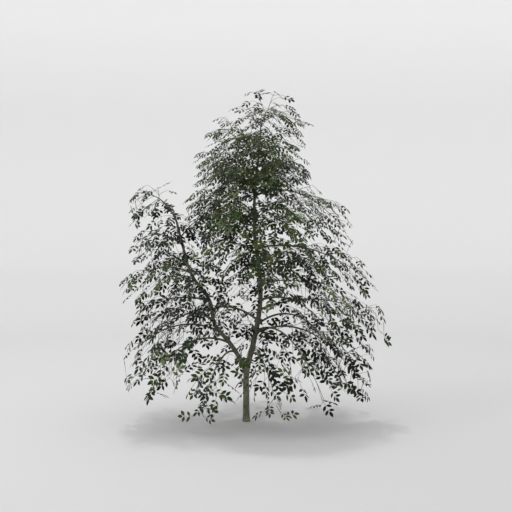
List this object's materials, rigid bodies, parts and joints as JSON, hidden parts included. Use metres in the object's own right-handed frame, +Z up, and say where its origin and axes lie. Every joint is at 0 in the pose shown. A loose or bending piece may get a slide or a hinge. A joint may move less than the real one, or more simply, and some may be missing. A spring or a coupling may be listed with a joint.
{
  "type": "elder tree",
  "caption": "Young elder tree with a slim leaning trunk that forks low, arching boughs and a full, drooping crown of dull green compound leaves, cut flat at ground level.",
  "frame": {"origin": "centre of the trunk's flat cut at ground level", "axes": "+Z up, +X to the right and -Y towards the viewer as the picture sees the tree"},
  "size_m": [3.3439, 2.5697, 4.067],
  "materials": {
    "bark": "rough olive grey bark",
    "foliage": "dull green leaves with a faint sheen"
  },
  "bodies": {
    "root": {"trunk": "bark", "left_limb": "bark", "right_droop_bough": "bark", "mid_right_bough": "bark", "right_mid_bough": "bark", "right_front_mid_bough": "bark", "right_low_bough": "bark", "right_front_low_bough": "bark", "front_low_bough": "bark", "right_back_low_bough": "bark", "back_low_bough": "bark", "back_left_low_bough": "bark", "left_out_bough": "bark", "left_low_out_bough": "bark", "left_low_front_bough": "bark", "left_front_low_bough": "bark", "left_back_low_bough": "bark", "crown_top_leaves": "foliage", "top_left_leaves": "foliage", "top_right_leaves": "foliage", "top_front_leaves": "foliage", "top_back_leaves": "foliage", "upper_left_leaves": "foliage", "upper_left_front_leaves": "foliage", "upper_front_leaves": "foliage", "upper_right_leaves": "foliage", "upper_back_right_leaves": "foliage", "upper_back_left_leaves": "foliage", "high_left_leaves": "foliage", "high_front_left_leaves": "foliage", "high_front_right_leaves": "foliage", "right_droop_leaves": "foliage", "high_back_right_leaves": "foliage", "high_back_left_leaves": "foliage", "mid_right_leaves": "foliage", "mid_front_leaves": "foliage", "mid_front_left_leaves": "foliage", "mid_front_right_leaves": "foliage", "mid_back_right_leaves": "foliage", "mid_back_leaves": "foliage", "right_mid_leaves": "foliage", "right_front_mid_leaves": "foliage", "right_low_leaves": "foliage", "right_front_low_leaves": "foliage", "front_low_leaves": "foliage", "right_back_low_leaves": "foliage", "back_low_leaves": "foliage", "back_left_low_leaves": "foliage", "left_limb_top_leaves": "foliage", "left_limb_inner_leaves": "foliage", "left_upper_out_leaves": "foliage", "left_mid_out_leaves": "foliage", "left_out_leaves": "foliage", "left_low_out_leaves": "foliage", "left_low_front_leaves": "foliage", "left_front_low_leaves": "foliage", "left_front_mid_leaves": "foliage", "left_back_mid_leaves": "foliage", "left_back_low_leaves": "foliage", "left_inner_front_leaves": "foliage"}
  },
  "joints": []
}
